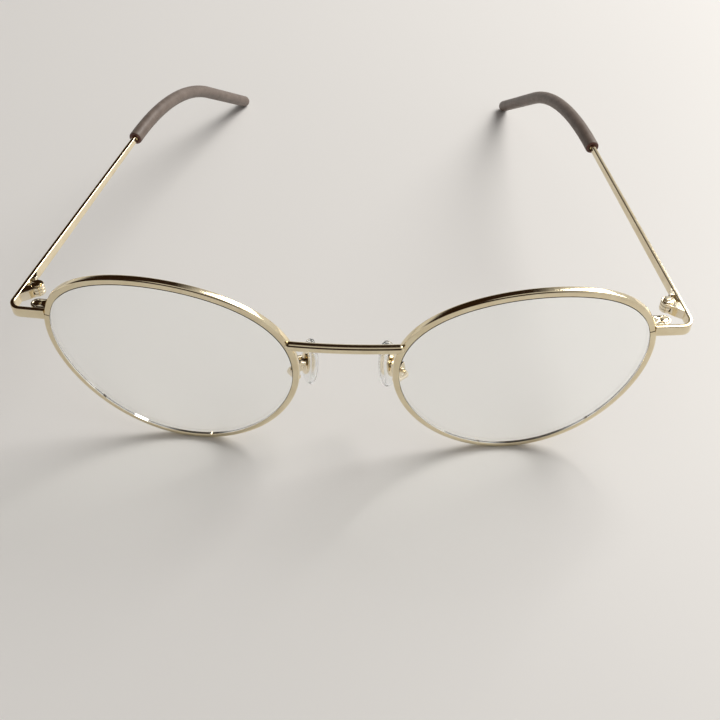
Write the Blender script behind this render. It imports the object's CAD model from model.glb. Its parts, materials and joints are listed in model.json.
"""Looks of a pair of wire-rimmed eyeglasses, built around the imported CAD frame.

Lengths are millimetres and angles are degrees until place() turns them into the frame's metres.
The wearer's left is +X, the lenses face -Y and the glasses stand on z = 0.
"""
import json
import math

import bpy
from mathutils import Matrix, Vector

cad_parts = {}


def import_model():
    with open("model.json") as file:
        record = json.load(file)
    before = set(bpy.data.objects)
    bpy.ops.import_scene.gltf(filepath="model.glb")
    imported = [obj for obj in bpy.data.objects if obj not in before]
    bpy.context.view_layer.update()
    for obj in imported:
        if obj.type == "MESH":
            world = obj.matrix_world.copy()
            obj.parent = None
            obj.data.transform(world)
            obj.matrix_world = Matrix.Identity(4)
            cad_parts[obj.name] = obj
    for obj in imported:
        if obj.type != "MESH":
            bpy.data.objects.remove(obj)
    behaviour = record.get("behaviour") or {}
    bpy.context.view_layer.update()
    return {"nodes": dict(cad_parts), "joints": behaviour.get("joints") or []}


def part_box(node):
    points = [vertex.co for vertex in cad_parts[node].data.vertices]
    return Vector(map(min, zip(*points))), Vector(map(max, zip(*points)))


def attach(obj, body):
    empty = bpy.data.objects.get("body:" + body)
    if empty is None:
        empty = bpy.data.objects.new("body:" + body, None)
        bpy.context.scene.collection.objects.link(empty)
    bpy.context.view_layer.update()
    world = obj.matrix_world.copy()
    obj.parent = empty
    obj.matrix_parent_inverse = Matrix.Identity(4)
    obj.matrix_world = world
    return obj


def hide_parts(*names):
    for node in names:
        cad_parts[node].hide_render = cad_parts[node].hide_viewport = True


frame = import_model()

MM = 0.001
SIDES = {"left": 1, "right": -1}

# --- Sizes that the CAD design sets ---
LENS_W = 49.0           # bevel to bevel
LENS_H = 43.4
LENS_GAP = 20.0
LENS_T = 1.6
LENS_CURVE = 130.0      # radius of both faces of a lens
WRAP = 5.0              # backward sweep of each lens towards its temple
LEAN = 1.5              # forward lean of the lens tops
OUTLINE_SLANT = 0.24    # the top leans outwards and the bottom inwards
OUTLINE_SHIFT = 0.085   # top and bottom sit towards the temple
OUTLINE_DROP = 0.115    # the temple end sits lower and the nose end higher
OUTLINE_LIFT = 0.15     # both ends sit above the middle
RIM_D = 1.7             # front to back
RIM_OUT = 0.85          # from the bevel's edge outwards
RIM_LIP = 0.45          # from the bevel's edge inwards
GROOVE_HALF = 0.33
GROOVE_CLEAR = 0.05
BEVEL_DEPTH = 0.5
BEVEL_HALF = 0.27
SPLIT_TURN = 28.2       # turn of the outline at which the eyewire is split
SPLIT_GAP = 0.2
BRIDGE_H = 1.7
BRIDGE_D = 1.9
BRIDGE_UP = 8.5         # above the lens centres
BRIDGE_BOW = 0.5
BRIDGE_SEAT = 1.0       # how far each end runs past the rim's outer edge
STRIP_H = 2.3
STRIP_T = 0.9
ENDPIECE_RUN = 4.9      # from the rim to the corner
CORNER_R = 2.0
SIDE_RUN = 6.3          # from the corner to the hinge seam
SOLDER = 0.4            # depth that soldered pieces run into each other
PART_GAP = 0.05         # gap between faces that lie on each other
PIVOT_IN = 2.4          # from the temple strip in to the hinge axis
PIVOT_FORE = 1.2        # from the hinge axis back to the hinge seam
TEMPLE_IN = 11.6        # slant of the temples towards each other
TEMPLE_L = 53.0         # from the hinge seam to the tip's mouth
TEMPLE_END_H = 1.5
TIP_R = 1.55
TIP_LEAD = 2.0          # straight run behind the tip's mouth
TIP_BEND = 35.0
TIP_BEND_R = 74.0
CORE_R = 0.6
CORE_STOP = 6.0         # from the core's end to the end of the tip
PAD_H = 11.5
PAD_W = 6.6
PAD_T = 1.5
PAD_Y = 5.4             # from the lens plane back to the pad screw
PAD_SPLAY = 30.0        # turn of the pad faces towards the back
PAD_SPREAD = 10.0       # spread of the pads towards the bottom
PAD_BACK = 1.45         # from the pad screw to the pad
BOX_BACK = 1.3          # from the pad screw to the back of the pad box
BOX_WALL = 0.45
ARM_R = 0.45
ARM_BEND_R = 1.8
ARM_OUT = 28.0          # outward slant of the arm where it leaves the rim
ARM_RISE = 3.0          # from the pad box up to the arm's root on the rim

# --- Finer shapes, which only the looks need ---
RIM_ROUND = 0.5         # outer edges of the eyewire
LIP_ROUND = 0.13        # inner edges of the eyewire
STRIP_ROUND = 0.2
BRIDGE_ROUND = 0.78
TAPER_FROM = 0.92       # share of the bridge's half length where its ends begin to thin
TAPER = 0.75            # what the thinning takes from the square of its thickness
MOUTH_ROUND = 0.4       # edge of the tip's mouth
# Depth and radius of the rings in the tip's mouth, from the hollow's floor out to its edge
MOUTH_HOLLOW = ((1.4, 0.68), (0.5, 0.7), (0.12, 0.82), (0.0, 0.98), (0.0, 1.12))
MOUTH_EDGE = 0.12       # depth of the coloured edge
MOUTH_DEPTH = 1.5       # depth and radius of the coloured hollow
MOUTH_R = 1.1
TIP_CAP_TURN = 88       # the round end's last ring, short of its pole
PAD_DROP = 0.16         # share by which the pad narrows at its top and widens at its bottom
# Depth and size of the rings of a pad, as shares, from its flat back to its crowned face
PAD_PROFILE = (
    (0.0, 0.3), (0.0, 0.6), (0.02, 0.76), (0.08, 0.87), (0.18, 0.94), (0.32, 0.985), (0.48, 1.0),
    (0.62, 0.985), (0.74, 0.945), (0.84, 0.88), (0.91, 0.79), (0.96, 0.67), (0.985, 0.5),
    (0.997, 0.3), (1.0, 0.1),
)
ARM_FLARE = 0.6         # growth of the wire's radius where it is soldered on the rim
# Width of the softened edges on the CAD pieces that keep their own shape
HARDWARE = {
    "closing_block_upper_": 0.16,
    "closing_block_lower_": 0.16,
    "closing_screw_": 0.06,
    "hinge_front_leaf_": 0.12,
    "hinge_temple_leaf_": 0.12,
    "hinge_screw_": 0.07,
    "pad_box_": 0.12,
    "pad_screw_": 0.05,
    "pad_insert_": 0.08,
}

# --- Scene ---
PALE = (0.80, 0.795, 0.785, 1)      # floor and backdrop
FLOOR_HALF = 3000.0
CAMERA_AT = (10.99, -201.87, 166.29)
CAMERA_YAW = -3.454
CAMERA_PITCH = 45.817
CAMERA_ROLL = -0.815


def sin(angle):
    return math.sin(math.radians(angle))


def cos(angle):
    return math.cos(math.radians(angle))


def tan(angle):
    return math.tan(math.radians(angle))


# --- Lens outline: an ellipse with slanted axes and lifted ends ---
def raw_outline(t):
    u = cos(t) + OUTLINE_SLANT * sin(t) + OUTLINE_SHIFT * sin(t) ** 2
    v = sin(t) - OUTLINE_DROP * cos(t) + OUTLINE_LIFT * cos(t) ** 2
    return u, v


RAW = [raw_outline(t) for t in range(360)]
U_LOW, U_HIGH = min(p[0] for p in RAW), max(p[0] for p in RAW)
V_LOW, V_HIGH = min(p[1] for p in RAW), max(p[1] for p in RAW)
U_SCALE = LENS_W / (U_HIGH - U_LOW)
V_SCALE = LENS_H / (V_HIGH - V_LOW)


def outline_run(t):
    """Direction of travel along the outline."""
    du = U_SCALE * (-sin(t) + OUTLINE_SLANT * cos(t) + OUTLINE_SHIFT * sin(2 * t))
    dv = V_SCALE * (cos(t) + OUTLINE_DROP * sin(t) - OUTLINE_LIFT * sin(2 * t))
    return du, dv


def edge_point(t, out):
    """Point of the outline, moved outwards by out along its normal."""
    u, v = raw_outline(t)
    du, dv = outline_run(t)
    run = math.hypot(du, dv)
    return (
        U_SCALE * (u - (U_LOW + U_HIGH) / 2) + out * dv / run,
        V_SCALE * (v - (V_LOW + V_HIGH) / 2) - out * du / run,
    )


def bulge(r):
    """Depth of the lens surface's sphere at radius r, level with the lens plane at the mean radius."""
    mean = (LENS_W + LENS_H) / 4
    return math.sqrt(LENS_CURVE**2 - r * r) - math.sqrt(LENS_CURVE**2 - mean * mean)


def edge_n(t):
    """Depth of the bevel and the eyewire, which follow that sphere."""
    return -bulge(math.hypot(*edge_point(t, 0)))


def nose_turn(height):
    """Turn on the nose side at which the outline passes a height."""
    turns = [130 + 0.25 * i for i in range(401)]
    return min(turns, key=lambda t: abs(edge_point(t, 0)[1] - height))


# --- Anchors, from the frame's own joints ---
def turned(angle, axis):
    return Matrix.Rotation(math.radians(angle), 3, axis)


JOINTS = {j["name"]: Vector(j["pos_m"]) / MM for j in frame["joints"]}
HINGE = JOINTS["temple_left_fold"]
PAD = JOINTS["nose_pad_left_rock"]
MID_Y = PAD_Y - PAD.y   # from the lens plane back to the middle of the glasses' length
LENS_X = LENS_GAP / 2 + LENS_W / 2 * cos(WRAP)
STRIP_Z = HINGE.z
LENS_Z = STRIP_Z - edge_point(SPLIT_TURN, 0)[1] * cos(LEAN)

PLAN_TURN = turned(WRAP, "Z")
LENS_TURN = turned(LEAN, "X") @ PLAN_TURN
TEMPLE_TURN = turned(TEMPLE_IN, "Z")
PAD_TURN = turned(90 - PAD_SPLAY, "Z") @ turned(-PAD_SPREAD, "X")
SEAM = HINGE + TEMPLE_TURN @ Vector((PIVOT_IN, PIVOT_FORE, 0))


def in_lens(p):
    return LENS_TURN @ Vector(p) + Vector((LENS_X, -MID_Y, LENS_Z))


def in_temple(p):
    return TEMPLE_TURN @ Vector(p) + SEAM


def in_pad(p):
    return PAD_TURN @ Vector(p) + PAD


def place(side, p):
    """A point of the left side in metres, mirrored when side is -1."""
    return Vector((side * p[0], p[1], p[2])) * MM


# --- Outlines ---
def arc(centre, radius, start, steps):
    """Quarter of a circle as points, from the angle start onwards, both ends included."""
    turns = [start + 90 * i / steps for i in range(steps + 1)]
    return [(centre[0] + radius * cos(turn), centre[1] + radius * sin(turn)) for turn in turns]


def rounded_rect(width, height, radius, steps):
    """Rectangle with round corners; the points between them keep the upright sides' shading flat."""
    x = width / 2 - radius
    y = height / 2 - radius
    return (
        arc((x, y), radius, 0, steps)
        + arc((-x, y), radius, 90, steps)
        + [(-width / 2, y * share) for share in (0.5, 0.0, -0.5)]
        + arc((-x, -y), radius, 180, steps)
        + arc((x, -y), radius, 270, steps)
        + [(width / 2, y * share) for share in (-0.5, 0.0, 0.5)]
    )


def rim_section():
    """Section of the eyewire, [outwards, backwards] around the lens bevel."""
    half = RIM_D / 2
    outer = RIM_OUT - RIM_ROUND
    inner = LIP_ROUND - RIM_LIP
    groove = [(-RIM_LIP, GROOVE_HALF), (GROOVE_CLEAR, 0.0), (-RIM_LIP, -GROOVE_HALF)]
    return (
        arc((outer, RIM_ROUND - half), RIM_ROUND, -90, 7)
        + arc((outer, half - RIM_ROUND), RIM_ROUND, 0, 7)
        + arc((inner, half - LIP_ROUND), LIP_ROUND, 90, 3)
        + groove
        + arc((inner, LIP_ROUND - half), LIP_ROUND, 180, 3)
    )


# --- Mesh helpers ---
def mesh_object(name, points, faces, material, sharp=40):
    mesh = bpy.data.meshes.new(name)
    mesh.from_pydata([tuple(p) for p in points], [], faces)
    mesh.update()
    made = bpy.data.objects.new(name, mesh)
    bpy.context.scene.collection.objects.link(made)
    mesh.materials.append(material)
    mesh.shade_smooth()
    mesh.set_sharp_from_angle(angle=math.radians(sharp))
    return made


def outward(points, faces):
    """Turns all the faces of a closed mesh round if it encloses a negative volume."""
    volume = 0.0
    for face in faces:
        first = points[face[0]]
        for b, c in zip(face[1:], face[2:]):
            volume += first.dot(points[b].cross(points[c]))
    return faces if volume > 0 else [face[::-1] for face in faces]


def loft(name, rings, material, sharp=50):
    """Skin over a run of rings of equal length, with a flat cap at each end."""
    count = len(rings[0])
    last = (len(rings) - 1) * count
    points = [p for ring in rings for p in ring]
    faces = []
    for here in range(0, last, count):
        there = here + count
        for j in range(count):
            k = (j + 1) % count
            faces.append([here + j, there + j, there + k, here + k])
    faces.append(list(range(count)))
    faces.append([last + j for j in reversed(range(count))])
    return mesh_object(name, points, outward(points, faces), material, sharp)


def rides(piece, body, node):
    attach(piece, body)
    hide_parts(node)


# --- Materials ---
class Shader:
    """A small builder for one Principled material whose detail is procedural."""

    def __init__(self, name):
        self.material = bpy.data.materials.new(name)
        self.material.use_nodes = True
        self.tree = self.material.node_tree
        self.principled = self.tree.nodes["Principled BSDF"]
        self.coords = self.tree.nodes.new("ShaderNodeTexCoord").outputs["Object"]

    def link(self, out, into):
        self.tree.links.new(out, into)

    def setting(self, name, value):
        self.principled.inputs[name].default_value = value

    def drive(self, name, source):
        self.link(source, self.principled.inputs[name])

    def noise(self, scale, detail, stretch=(1, 1, 1)):
        """Noise whose features are about 1 / scale metres across."""
        node = self.tree.nodes.new("ShaderNodeTexNoise")
        node.inputs["Scale"].default_value = scale
        node.inputs["Detail"].default_value = detail
        mapping = self.tree.nodes.new("ShaderNodeMapping")
        mapping.inputs["Scale"].default_value = stretch
        self.link(self.coords, mapping.inputs["Vector"])
        self.link(mapping.outputs["Vector"], node.inputs["Vector"])
        return node.outputs["Fac"]

    def ramp(self, source, low, high, start=0.35, end=0.65):
        """Colour between low and high as source goes from start to end."""
        node = self.tree.nodes.new("ShaderNodeValToRGB")
        for element, position, colour in zip(node.color_ramp.elements, (start, end), (low, high)):
            element.position = position
            element.color = (*colour, 1)
        self.link(source, node.inputs["Fac"])
        return node.outputs["Color"]

    def span(self, source, low, high, start=0.35, end=0.65):
        """Number between low and high as source goes from start to end."""
        node = self.tree.nodes.new("ShaderNodeMapRange")
        for key, value in zip(("From Min", "From Max", "To Min", "To Max"), (start, end, low, high)):
            node.inputs[key].default_value = value
        self.link(source, node.inputs["Value"])
        return node.outputs["Result"]

    def bump(self, source, height, before=None):
        """Raises the surface by up to height millimetres, on top of the bump before it."""
        node = self.tree.nodes.new("ShaderNodeBump")
        node.inputs["Strength"].default_value = 1.0
        node.inputs["Distance"].default_value = height * MM
        self.link(source, node.inputs["Height"])
        if before:
            self.link(before, node.inputs["Normal"])
        return node.outputs["Normal"]

    def casts_faint_shadow(self, tint):
        """Lets shadow rays and diffuse rays straight through, with a tint."""
        path = self.tree.nodes.new("ShaderNodeLightPath")
        clear = self.tree.nodes.new("ShaderNodeBsdfTransparent")
        clear.inputs["Color"].default_value = (*tint, 1)
        surface = self.principled.outputs["BSDF"]
        for ray in ("Is Shadow Ray", "Is Diffuse Ray"):
            mix = self.tree.nodes.new("ShaderNodeMixShader")
            self.link(path.outputs[ray], mix.inputs["Fac"])
            self.link(surface, mix.inputs[1])
            self.link(clear.outputs["BSDF"], mix.inputs[2])
            surface = mix.outputs["Shader"]
        self.link(surface, self.tree.nodes["Material Output"].inputs["Surface"])


def gold_metal(name, pale, warm, rough):
    """Polished pale gold plating with hairline scratches and uneven gloss."""
    s = Shader(name)
    s.setting("Metallic", 1.0)
    s.drive("Base Color", s.ramp(s.noise(350, 3), pale, warm))
    s.drive("Roughness", s.span(s.noise(1600, 5), rough * 0.8, rough * 1.4))
    ripple = s.bump(s.noise(700, 2), 0.006)
    s.drive("Normal", s.bump(s.noise(5200, 3, stretch=(1, 0.12, 1)), 0.0012, ripple))
    return s.material


def clear_lens():
    """Coated lens, almost colourless, with a trace of haze in places."""
    s = Shader("clear_lens")
    s.setting("Base Color", (0.985, 0.995, 0.99, 1))
    s.setting("Transmission Weight", 1.0)
    s.setting("IOR", 1.5)
    s.drive("Roughness", s.span(s.noise(160, 4), 0.0, 0.02, 0.45, 0.75))
    s.drive("Normal", s.bump(s.noise(60, 1), 0.002))
    s.casts_faint_shadow((0.95, 0.955, 0.95))
    return s.material


def clear_silicone():
    """Soft clear silicone with a slightly uneven, satin skin."""
    s = Shader("clear_silicone")
    s.setting("Transmission Weight", 0.94)
    s.setting("IOR", 1.3)
    s.drive("Base Color", s.ramp(s.noise(500, 3), (0.93, 0.95, 0.955), (0.985, 0.99, 0.99)))
    s.drive("Roughness", s.span(s.noise(2200, 4), 0.05, 0.14))
    s.drive("Normal", s.bump(s.noise(900, 3), 0.004))
    s.casts_faint_shadow((0.82, 0.84, 0.84))
    return s.material


def taupe_tip(name, dark, light):
    """Soft-touch acetate: fine mottling, a satin surface and a moulded grain."""
    s = Shader(name)
    s.setting("IOR", 1.48)
    s.drive("Base Color", s.ramp(s.noise(420, 6), dark, light, 0.3, 0.7))
    s.drive("Roughness", s.span(s.noise(2600, 4), 0.42, 0.58))
    waves = s.bump(s.noise(260, 2), 0.03)
    s.drive("Normal", s.bump(s.noise(7000, 4), 0.006, waves))
    return s.material


GOLD = gold_metal("gold_metal", (0.84, 0.74, 0.53), (0.78, 0.67, 0.46), 0.11)
GOLD_BRIGHT = gold_metal("gold_hardware", (0.88, 0.79, 0.62), (0.80, 0.70, 0.51), 0.09)
LENS = clear_lens()
SILICONE = clear_silicone()
TAUPE = taupe_tip("taupe_tip", (0.115, 0.085, 0.068), (0.165, 0.128, 0.106))
TIP_MOUTH = taupe_tip("taupe_tip_mouth", (0.085, 0.028, 0.018), (0.14, 0.05, 0.034))


# --- Front ---
def eyewire(name, side):
    """Grooved rim, open by a narrow split at the temple side."""
    steps = 400
    half_turn = math.degrees(SPLIT_GAP / 2 / math.hypot(*outline_run(SPLIT_TURN)))
    section = rim_section()
    rings = []
    for i in range(steps + 1):
        t = SPLIT_TURN + half_turn + (360 - 2 * half_turn) * i / steps
        ring = []
        for out, back in section:
            u, v = edge_point(t, out)
            ring.append(place(side, in_lens((u, back + edge_n(t), v))))
        rings.append(ring)
    return loft("rim_" + name, rings, GOLD)


def lens(name, side):
    """Spherical shell with a bevelled edge."""
    steps = 240
    grid = 26
    hub = 0.02          # innermost ring, as a share of the outermost
    turns = [360 * i / steps for i in range(steps)]
    inner = [edge_point(t, -BEVEL_DEPTH) for t in turns]

    def skin(share, offset):
        ring = []
        for u, v in inner:
            n = offset - bulge(share * math.hypot(u, v))
            ring.append(place(side, in_lens((share * u, n, share * v))))
        return ring

    def land(out, offset):
        ring = []
        for t in turns:
            u, v = edge_point(t, out)
            ring.append(place(side, in_lens((u, edge_n(t) + offset, v))))
        return ring

    shares = [hub + (1 - hub) * i / grid for i in range(grid + 1)]
    rings = [skin(share, -LENS_T / 2) for share in shares]
    rings += [land(-BEVEL_DEPTH, -BEVEL_HALF), land(0, 0), land(-BEVEL_DEPTH, BEVEL_HALF)]
    rings += [skin(share, LENS_T / 2) for share in reversed(shares)]
    return loft("lens_glass_" + name, rings, LENS, 25)


def bridge():
    """Round-edged bar that bows forward and thins where its ends are soldered on."""
    low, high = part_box("bridge")
    z = (low.z + high.z) / 2 / MM
    front = low.y / MM + BRIDGE_D / 2
    rim_edge = edge_point(nose_turn(BRIDGE_UP - BRIDGE_H / 2), RIM_OUT)[0]
    half = LENS_X + rim_edge * cos(WRAP) + BRIDGE_SEAT
    radius = (half**2 + BRIDGE_BOW**2) / (2 * BRIDGE_BOW)
    sweep = math.degrees(math.asin(half / radius))
    section = rounded_rect(BRIDGE_D, BRIDGE_H, BRIDGE_ROUND, 8)
    steps = 60
    ends = [0.95, 0.985, 1]
    shares = [-share for share in reversed(ends)]
    shares += [TAPER_FROM * (2 * i / steps - 1) for i in range(steps + 1)]
    shares += ends
    rings = []
    for share in shares:
        turn = sweep * share
        past = max(0, abs(share) - TAPER_FROM) / (1 - TAPER_FROM)
        size = math.sqrt(1 - TAPER * past**3)
        ring = []
        for out, up in section:
            r = radius + out * size
            ring.append(place(1, (r * sin(turn), front + radius - r * cos(turn), z + up * size)))
        rings.append(ring)
    return loft("bridge_bar", rings, GOLD)


def endpiece(name, side):
    """Flat strip that leaves the rim, turns the corner and ends at the hinge seam."""
    run_steps = 12
    corner_steps = 20
    split_u = edge_point(SPLIT_TURN, RIM_OUT)[0]
    strip_n = edge_n(SPLIT_TURN) - RIM_D / 2 + STRIP_T / 2 - (STRIP_Z - LENS_Z) * tan(LEAN)
    start_u = split_u - SOLDER / 2
    corner_u = split_u + ENDPIECE_RUN
    corner_turn = 90 + TEMPLE_IN - WRAP
    path = []
    for i in range(run_steps + 1):
        path.append((start_u + (corner_u - start_u) * i / run_steps, strip_n, 0))
    for i in range(1, corner_steps + 1):
        turn = corner_turn * i / corner_steps
        path.append((corner_u + CORNER_R * sin(turn), strip_n + CORNER_R * (1 - cos(turn)), turn))
    end_u, end_n, _ = path[-1]
    for i in range(1, run_steps + 1):
        run = SIDE_RUN * i / run_steps
        path.append((end_u + run * cos(corner_turn), end_n + run * sin(corner_turn), corner_turn))
    section = rounded_rect(STRIP_T, STRIP_H, STRIP_ROUND, 4)
    rings = []
    for u, n, turn in path:
        ring = []
        for across, up in section:
            p = PLAN_TURN @ Vector((u + across * sin(turn), n - across * cos(turn), 0))
            ring.append(place(side, p + Vector((LENS_X, -MID_Y, STRIP_Z + up))))
        rings.append(ring)
    return loft("endpiece_strip_" + name, rings, GOLD)


# --- Temples and tips ---
def tip_end_length():
    """Straight run behind the bend, at whose end the tip stands on the ground."""
    drop = TIP_BEND_R * (1 - cos(TIP_BEND))
    return (STRIP_Z - TIP_R - drop) / sin(TIP_BEND)


def tip_path(end_l):
    """Places and pitch, [y, z, turn], from the tip's mouth to its end, in the temple's own frame."""
    lead_steps = 4
    bend_steps = 48
    end_steps = 24
    path = [(TEMPLE_L + TIP_LEAD * i / lead_steps, 0.0, 0.0) for i in range(lead_steps)]
    for i in range(bend_steps + 1):
        turn = TIP_BEND * i / bend_steps
        y = TEMPLE_L + TIP_LEAD + TIP_BEND_R * sin(turn)
        path.append((y, -TIP_BEND_R * (1 - cos(turn)), turn))
    y, z, turn = path[-1]
    for i in range(1, end_steps + 1):
        run = end_l * i / end_steps
        path.append((y + run * cos(turn), z - run * sin(turn), turn))
    return path


def tube_ring(side, centre, radius, count=40):
    """Round ring square to the tip's path."""
    y, z, turn = centre
    ring = []
    for j in range(count):
        a = 360 * j / count
        up = radius * sin(a)
        p = (radius * cos(a), y + up * sin(turn), z + up * cos(turn))
        ring.append(place(side, in_temple(p)))
    return ring


def temple_strip(name, side):
    """Strip that tapers from the hinge seam to the tip's mouth."""
    steps = 60
    rings = []
    for i in range(steps + 1):
        share = i / steps
        y = PART_GAP + (TEMPLE_L - PART_GAP) * share
        height = STRIP_H + (TEMPLE_END_H - STRIP_H) * share
        section = rounded_rect(STRIP_T, height, STRIP_ROUND, 4)
        rings.append([place(side, in_temple((a, y, b))) for a, b in section])
    return loft("temple_strip_" + name, rings, GOLD)


def temple_core(name, side):
    """Wire on which the strip runs on inside the tip."""
    path = tip_path(tip_end_length() - CORE_STOP)
    rings = [tube_ring(side, centre, CORE_R, 24) for centre in path]
    return loft("temple_core_" + name, rings, GOLD)


def temple_tip(name, side):
    """Bent sleeve with a hollow mouth and a round end."""
    edge_steps = 6
    cap_steps = 10
    rings = [tube_ring(side, (TEMPLE_L + depth, 0, 0), radius) for depth, radius in MOUTH_HOLLOW]
    for i in range(1, edge_steps + 1):
        turn = 90 * i / edge_steps
        centre = (TEMPLE_L + MOUTH_ROUND * (1 - cos(turn)), 0, 0)
        rings.append(tube_ring(side, centre, TIP_R - MOUTH_ROUND * (1 - sin(turn))))
    path = tip_path(tip_end_length())
    rings += [tube_ring(side, centre, TIP_R) for centre in path[1:]]
    y, z, turn = path[-1]
    for i in range(1, cap_steps + 1):
        a = TIP_CAP_TURN * i / cap_steps
        run = TIP_R * sin(a)
        rings.append(tube_ring(side, (y + run * cos(turn), z - run * sin(turn), turn), TIP_R * cos(a)))
    tip = loft("ear_tip_" + name, rings, TAUPE, 60)
    colour_mouth(tip, side)
    return tip


def colour_mouth(tip, side):
    """Gives the faces in the tip's mouth, and on its edge, their own material."""
    tip.data.materials.append(TIP_MOUTH)
    mouth = in_temple((0, TEMPLE_L, 0))
    along = TEMPLE_TURN @ Vector((0, 1, 0))
    for face in tip.data.polygons:
        centre = Vector(face.center) / MM
        centre.x *= side
        depth = (centre - mouth).dot(along)
        radius = (centre - mouth).cross(along).length
        if depth < MOUTH_EDGE or (depth < MOUTH_DEPTH and radius < MOUTH_R):
            face.material_index = 1


# --- Nose pads ---
def nose_pad(name, side):
    """Drop-shaped cushion with a crowned face and a rounded edge."""
    count = 72
    rings = []
    for depth, size in PAD_PROFILE:
        ring = []
        for j in range(count):
            a = 360 * j / count
            x = size * PAD_W / 2 * sin(a) * (1 - PAD_DROP * cos(a))
            z = size * PAD_H / 2 * cos(a)
            ring.append(place(side, in_pad((x, PAD_BACK + depth * PAD_T, z))))
        rings.append(ring)
    return loft("pad_cushion_" + name, rings, SILICONE, 80)


def pad_arm(name, side):
    """Wire from the back of the rim, round one bend and into the pad box, in one tilted plane."""
    bend_steps = 24
    lead_steps = 8
    flare_steps = 4
    count = 28

    tail = Vector((-cos(PAD_SPLAY), sin(PAD_SPLAY), 0))
    reach = BOX_BACK - BOX_WALL / 2
    end = PAD - reach * cos(PAD_SPREAD) * tail + Vector((0, 0, reach * sin(PAD_SPREAD)))
    root_turn = nose_turn(end.z + ARM_RISE - LENS_Z)
    edge_u = edge_point(root_turn, RIM_OUT - SOLDER)[0]
    root_y = edge_u * sin(WRAP) + edge_n(root_turn) + RIM_D / 2 - SOLDER - MID_Y
    root = Vector((LENS_X + edge_u * cos(WRAP), root_y, end.z + ARM_RISE))

    along = (end - root).dot(tail)
    away = root - end + along * tail
    out = away.normalized()
    normal = tail.cross(out)
    sweep = 90 - PAD_SPLAY + ARM_OUT
    lead = (away.length - ARM_BEND_R * (1 - cos(sweep))) / sin(sweep)
    follow = along - lead * cos(sweep) - ARM_BEND_R * sin(sweep)
    centre = end - follow * tail + ARM_BEND_R * out

    stations = [(end, 0.0), (end - follow * tail, 0.0)]
    for i in range(1, bend_steps + 1):
        a = sweep * i / bend_steps
        stations.append((centre - ARM_BEND_R * (cos(a) * out + sin(a) * tail), a))
    bent = stations[-1][0]
    back = sin(sweep) * out - cos(sweep) * tail
    stations += [(bent + back * lead * i / lead_steps, sweep) for i in range(1, lead_steps + 1)]

    rings = []
    for i, (p, a) in enumerate(stations):
        across = cos(a) * out + sin(a) * tail
        past = max(0.0, 1 - (len(stations) - 1 - i) / flare_steps)
        radius = ARM_R * (1 + ARM_FLARE * past**2)
        ring = []
        for j in range(count):
            spin = 360 * j / count
            ring.append(place(side, p + radius * (cos(spin) * across + sin(spin) * normal)))
        rings.append(ring)
    return loft("pad_wire_" + name, rings, GOLD_BRIGHT)


# --- CAD pieces that keep their own shape ---
def dress(node, material, edge):
    """Softens the edges of a CAD piece and gives it a detailed material."""
    piece = frame["nodes"][node]
    piece.data.materials.clear()
    piece.data.materials.append(material)
    weld = piece.modifiers.new("weld", "WELD")
    weld.merge_threshold = 0.002 * MM
    bevel = piece.modifiers.new("soft_edges", "BEVEL")
    bevel.width = edge * MM
    bevel.segments = 3
    bevel.limit_method = "ANGLE"
    bevel.angle_limit = math.radians(40)
    normals = piece.modifiers.new("even_normals", "WEIGHTED_NORMAL")
    normals.weight = 80


for name, side in SIDES.items():
    rides(eyewire(name, side), "front", "eyewire_" + name)
    rides(lens(name, side), "front", "lens_" + name)
    rides(endpiece(name, side), "front", "endpiece_" + name)
    rides(temple_strip(name, side), "temple_" + name, "temple_" + name)
    rides(temple_core(name, side), "temple_" + name, "temple_" + name)
    rides(temple_tip(name, side), "temple_" + name, "temple_tip_" + name)
    rides(nose_pad(name, side), "nose_pad_" + name, "nose_pad_" + name)
    rides(pad_arm(name, side), "front", "pad_arm_" + name)
    for node, edge in HARDWARE.items():
        dress(node + name, GOLD_BRIGHT, edge)
rides(bridge(), "front", "bridge")


# --- Floor, light and camera ---
def floor():
    """Plain pale floor under the glasses."""
    material = bpy.data.materials.new("floor")
    material.use_nodes = True
    principled = material.node_tree.nodes["Principled BSDF"]
    principled.inputs["Base Color"].default_value = PALE
    principled.inputs["Roughness"].default_value = 0.55
    corners = [(-1, -1), (1, -1), (1, 1), (-1, 1)]
    points = [Vector((x, y, 0)) * FLOOR_HALF * MM for x, y in corners]
    mesh_object("floor", points, [(0, 1, 2, 3)], material)


def area_light(name, position, size, power, colour):
    """Square soft light that faces the glasses; its place and size are in metres."""
    data = bpy.data.lights.new(name, "AREA")
    data.size = size
    data.energy = power
    data.color = colour
    light = bpy.data.objects.new(name, data)
    light.location = position
    light.rotation_mode = "QUATERNION"
    light.rotation_quaternion = (-Vector(position)).to_track_quat("-Z", "Y")
    bpy.context.scene.collection.objects.link(light)


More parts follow.
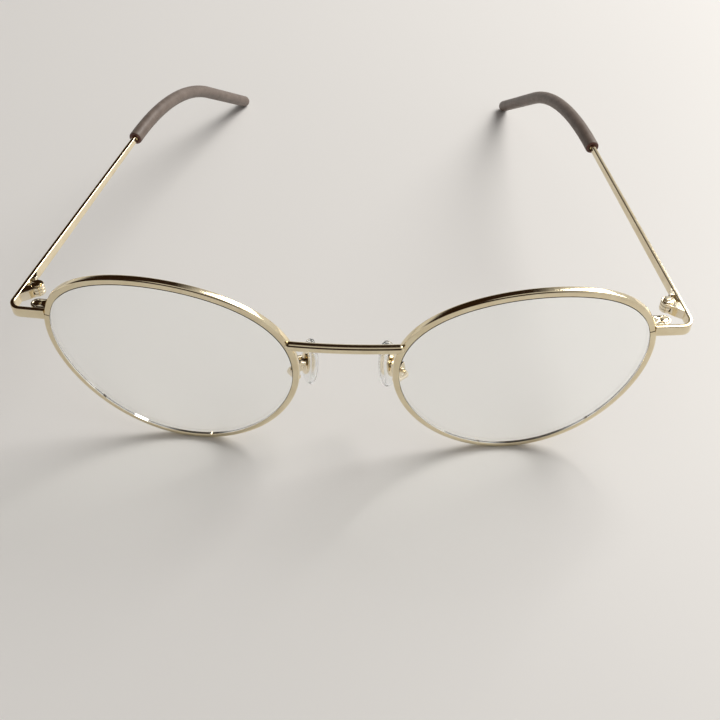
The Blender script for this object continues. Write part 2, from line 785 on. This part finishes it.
def world():
    """Room that the metal reflects, while the camera sees only a pale backdrop.

    It is bright on the wearer's left and low all round, with a lamp overhead. The rest is dark, and so
    is a patch above and in front of the glasses.
    """
    made = bpy.data.worlds.new("studio")
    bpy.context.scene.world = made
    made.use_nodes = True
    tree = made.node_tree
    background = tree.nodes["Background"]
    coords = tree.nodes.new("ShaderNodeTexCoord")
    split = tree.nodes.new("ShaderNodeSeparateXYZ")
    tree.links.new(coords.outputs["Generated"], split.inputs["Vector"])

    def ramp(source, start, end, low, high):
        """Number that goes smoothly from low to high as source goes from start to end."""
        node = tree.nodes.new("ShaderNodeMapRange")
        node.interpolation_type = "SMOOTHSTEP"
        for key, value in zip(("From Min", "From Max", "To Min", "To Max"), (start, end, low, high)):
            node.inputs[key].default_value = value
        tree.links.new(source, node.inputs["Value"])
        return node.outputs["Result"]

    def lobe(direction, inner, outer, within, beyond):
        """Number that is within up to inner degrees off a direction, and beyond from outer on."""
        dot = tree.nodes.new("ShaderNodeVectorMath")
        dot.operation = "DOT_PRODUCT"
        dot.inputs[1].default_value = Vector(direction).normalized()
        tree.links.new(coords.outputs["Generated"], dot.inputs[0])
        return ramp(dot.outputs["Value"], cos(outer), cos(inner), beyond, within)

    def joined(operation, a, b):
        node = tree.nodes.new("ShaderNodeMath")
        node.operation = operation
        tree.links.new(a, node.inputs[0])
        tree.links.new(b, node.inputs[1])
        return node.outputs[0]

    def mixed(factor):
        node = tree.nodes.new("ShaderNodeMix")
        node.data_type = "RGBA"
        tree.links.new(factor, node.inputs["Factor"])
        return node

    sideways = ramp(split.outputs["X"], 0.0, 0.3, 0.0, 1.0)
    low = ramp(split.outputs["Z"], 0.2, 0.42, 1.0, 0.0)
    overhead = lobe((0.0, -0.12, 1), 12, 24, within=0.8, beyond=0.0)
    dark_patch = lobe((0.2, -0.72, 0.66), 16, 30, within=0.03, beyond=1.0)
    bright = joined("MAXIMUM", joined("MAXIMUM", sideways, low), overhead)
    room = mixed(joined("MULTIPLY", bright, dark_patch))
    room.inputs["A"].default_value = (0.03, 0.014, 0.006, 1)
    room.inputs["B"].default_value = (0.95, 0.93, 0.90, 1)
    seen = mixed(tree.nodes.new("ShaderNodeLightPath").outputs["Is Camera Ray"])
    seen.inputs["B"].default_value = PALE
    tree.links.new(room.outputs["Result"], seen.inputs["A"])
    tree.links.new(seen.outputs["Result"], background.inputs["Color"])
    background.inputs["Strength"].default_value = 0.75


def camera():
    """Stands in front of the lenses and looks down on them."""
    yaw, pitch, roll = CAMERA_YAW, CAMERA_PITCH, CAMERA_ROLL
    forward = Vector((sin(yaw) * cos(pitch), cos(yaw) * cos(pitch), -sin(pitch)))
    level = Vector((cos(yaw), -sin(yaw), 0))
    up = level.cross(forward)
    right = cos(roll) * level + sin(roll) * up
    top = -sin(roll) * level + cos(roll) * up
    turn = Matrix((right, top, -forward)).transposed().to_4x4()
    data = bpy.data.cameras.new("camera")
    data.lens = 50
    data.sensor_width = 36
    data.clip_start = 0.01
    data.clip_end = 20
    made = bpy.data.objects.new("camera", data)
    made.matrix_world = Matrix.Translation(Vector(CAMERA_AT) * MM) @ turn
    bpy.context.scene.collection.objects.link(made)
    bpy.context.scene.camera = made


floor()
world()
area_light("window", (0.62, 0.52, 0.72), size=0.62, power=11, colour=(1.0, 0.965, 0.92))
camera()
bpy.context.scene.view_settings.view_transform = "Standard"
